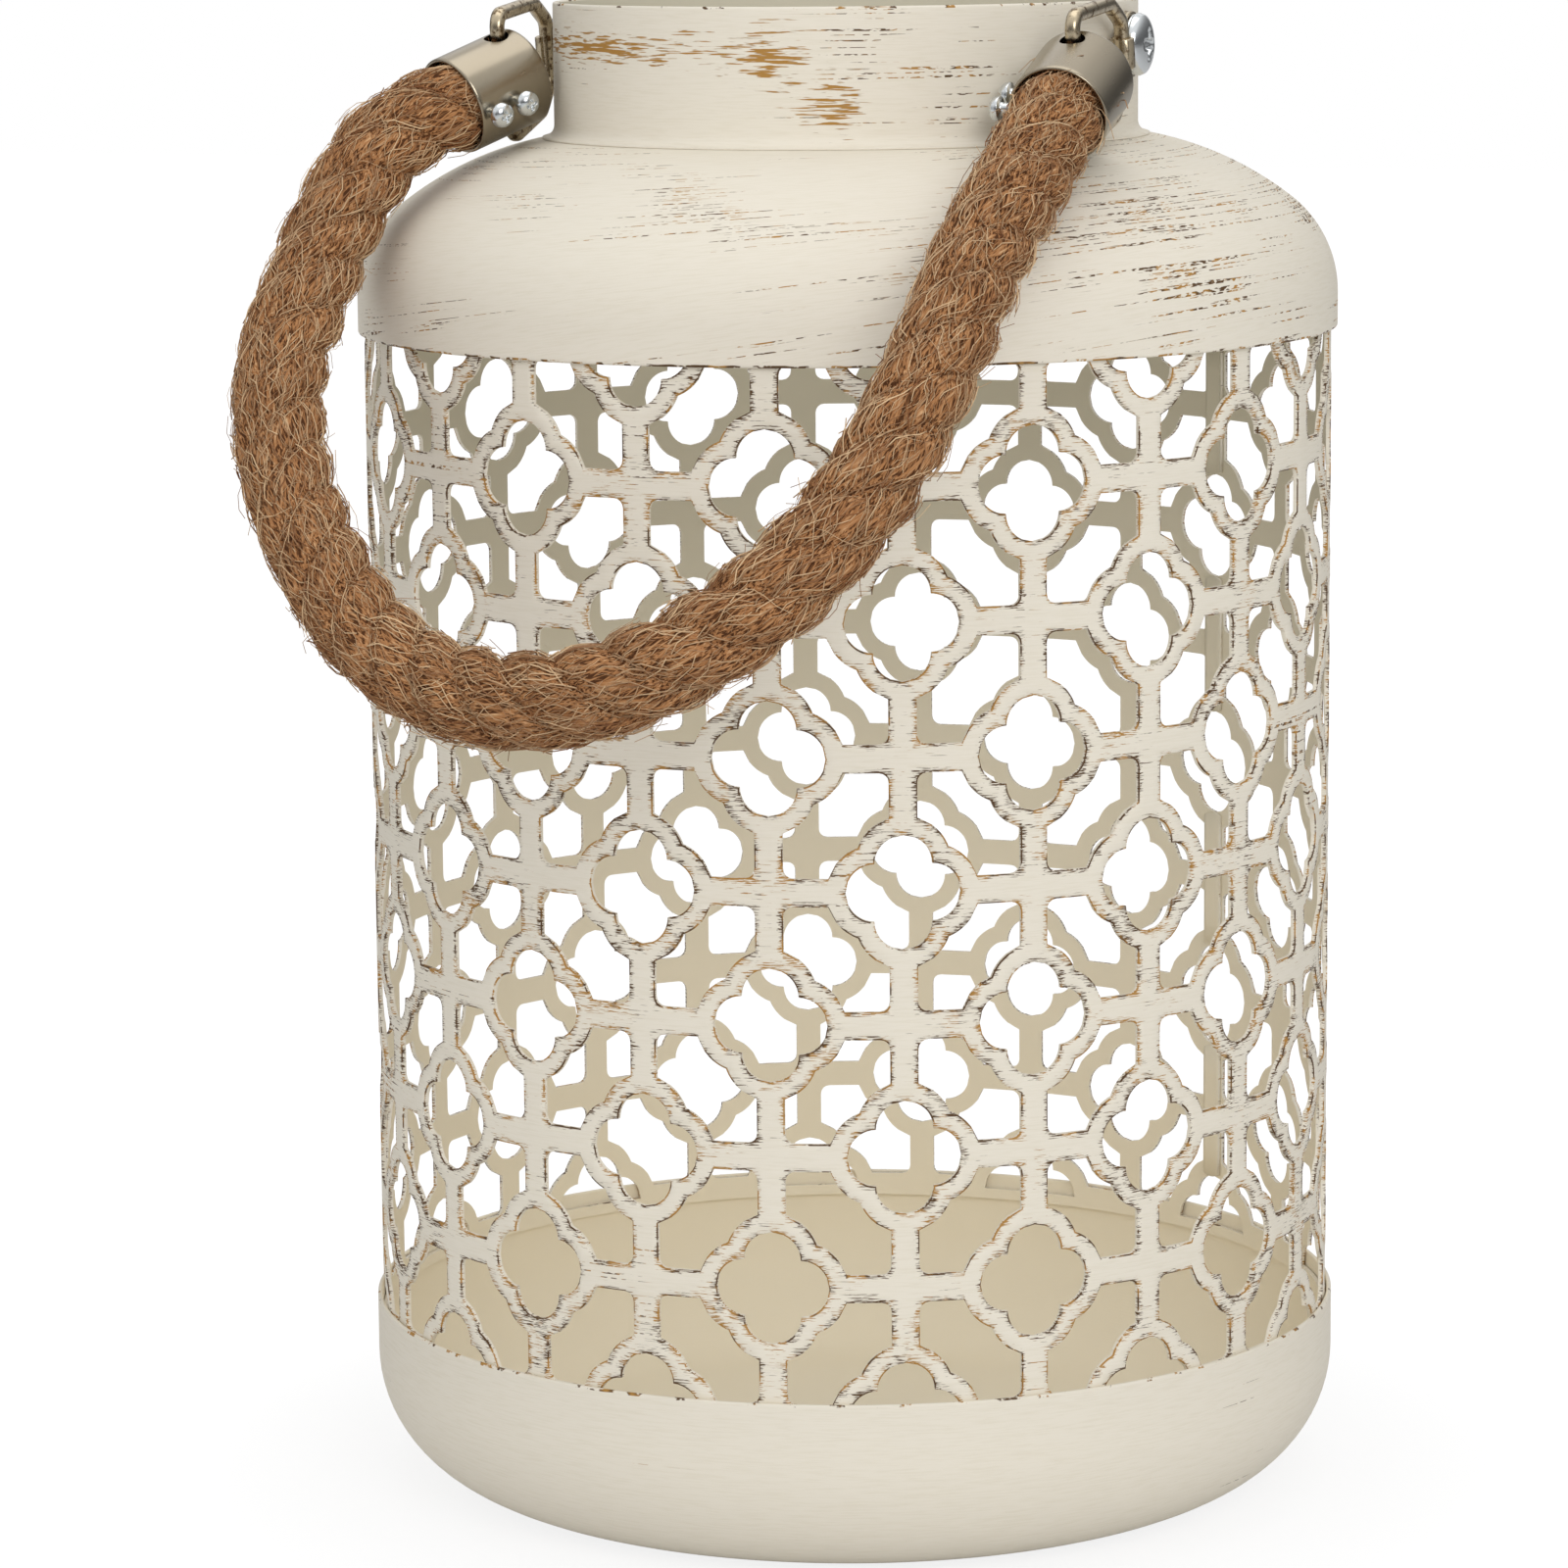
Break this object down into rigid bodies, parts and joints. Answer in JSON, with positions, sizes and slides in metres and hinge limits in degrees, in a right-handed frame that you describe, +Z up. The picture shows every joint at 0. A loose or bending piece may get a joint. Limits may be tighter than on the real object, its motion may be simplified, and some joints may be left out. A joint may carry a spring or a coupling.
{
  "type": "lantern",
  "caption": "Cylindrical sheet-metal lantern with a pierced quatrefoil wall, rounded base and shoulder, open neck, and a thick rope handle on hinged rings.",
  "frame": {"origin": "centre of the flat underside, on the axis of the round body", "axes": "+Z up along the body's axis; the handle turns about an axis along X and rests on the shoulder at the front, which is -Y"},
  "size_m": [0.166, 0.2178, 0.2543],
  "materials": {
    "cream_paint": "matte, rubbed back to dark metal and gold along the edges",
    "nickel": "polished, a little tarnished",
    "zinc": "bright zinc plating",
    "jute": "coarse three-strand twist with loose fibres"
  },
  "bodies": {
    "body": {"base_bowl": "cream_paint", "pierced_wall": "cream_paint", "shoulder_cap": "cream_paint", "neck_collar": "cream_paint", "pivot_screw_left": "zinc", "pivot_screw_right": "zinc", "pivot_washer_left": "zinc", "pivot_washer_right": "zinc", "pivot_nut_left": "zinc", "pivot_nut_right": "zinc"},
    "straps": {"hinge_strap_left": "nickel", "hinge_strap_right": "nickel"},
    "ring_left": {"handle_ring_left": "nickel"},
    "ring_right": {"handle_ring_right": "nickel"},
    "handle": {"ferrule_left": "nickel", "ferrule_right": "nickel", "ferrule_screw_left_back": "zinc", "ferrule_screw_left_front": "zinc", "ferrule_screw_right_back": "zinc", "ferrule_screw_right_front": "zinc", "rope": "jute"}
  },
  "joints": [
    {"name": "handle_swing", "type": "hinge", "parent": "body", "child": "straps", "pos_m": [0, 0, 0.24606], "axis": [-1, 0, 0], "range_deg": [0, 195]},
    {"name": "ring_left_tilt", "type": "hinge", "parent": "straps", "child": "ring_left", "pos_m": [-0.05159, -0.00751, 0.24487], "axis": [0, -0.1564, 0.9877], "range_deg": [-0.5, 1.2]},
    {"name": "ring_right_tilt", "type": "hinge", "parent": "straps", "child": "ring_right", "pos_m": [0.05159, -0.00751, 0.24487], "axis": [0, -0.1564, 0.9877], "range_deg": [-0.5, 1.2]},
    {"name": "ferrule_left_pivot", "type": "hinge", "parent": "ring_left", "child": "handle", "pos_m": [-0.04959, -0.03014, 0.24128], "axis": [0, -0.1564, 0.9877], "range_deg": [-1.23, 0.51]}
  ],
  "couplings": [
    {"joint": "ring_right_tilt", "follows": "ring_left_tilt", "ratio": 0.9961},
    {"joint": "ferrule_left_pivot", "follows": "ring_left_tilt", "ratio": -1.0198}
  ]
}
